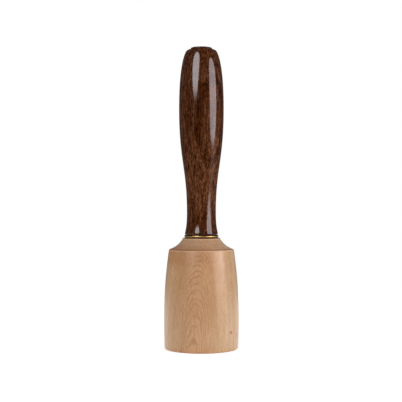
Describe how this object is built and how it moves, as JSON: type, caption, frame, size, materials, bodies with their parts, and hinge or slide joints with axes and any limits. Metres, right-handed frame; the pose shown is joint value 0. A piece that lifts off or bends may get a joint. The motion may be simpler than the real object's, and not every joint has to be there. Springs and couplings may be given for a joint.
{
  "type": "carver's mallet",
  "caption": "Round turned mallet: barrelled maple head with a hollow shoulder, brass collar and a swelling dark hardwood handle closed by an end button.",
  "frame": {"origin": "centre of the head's flat foot, on the turning axis", "axes": "+Z along the turning axis, from the head's foot to the handle's end; +X along the kerf and its wedge; the picture's camera looks along +Y"},
  "size_m": [0.0634, 0.0634, 0.2545],
  "materials": {
    "maple": "satin oiled maple",
    "dark_hardwood": "gloss lacquered dark hardwood",
    "brass": "polished"
  },
  "bodies": {
    "root": {"head": "maple", "collar_ring": "brass", "handle": "dark_hardwood", "tenon_wedge": "maple", "end_button": "dark_hardwood"}
  },
  "joints": []
}
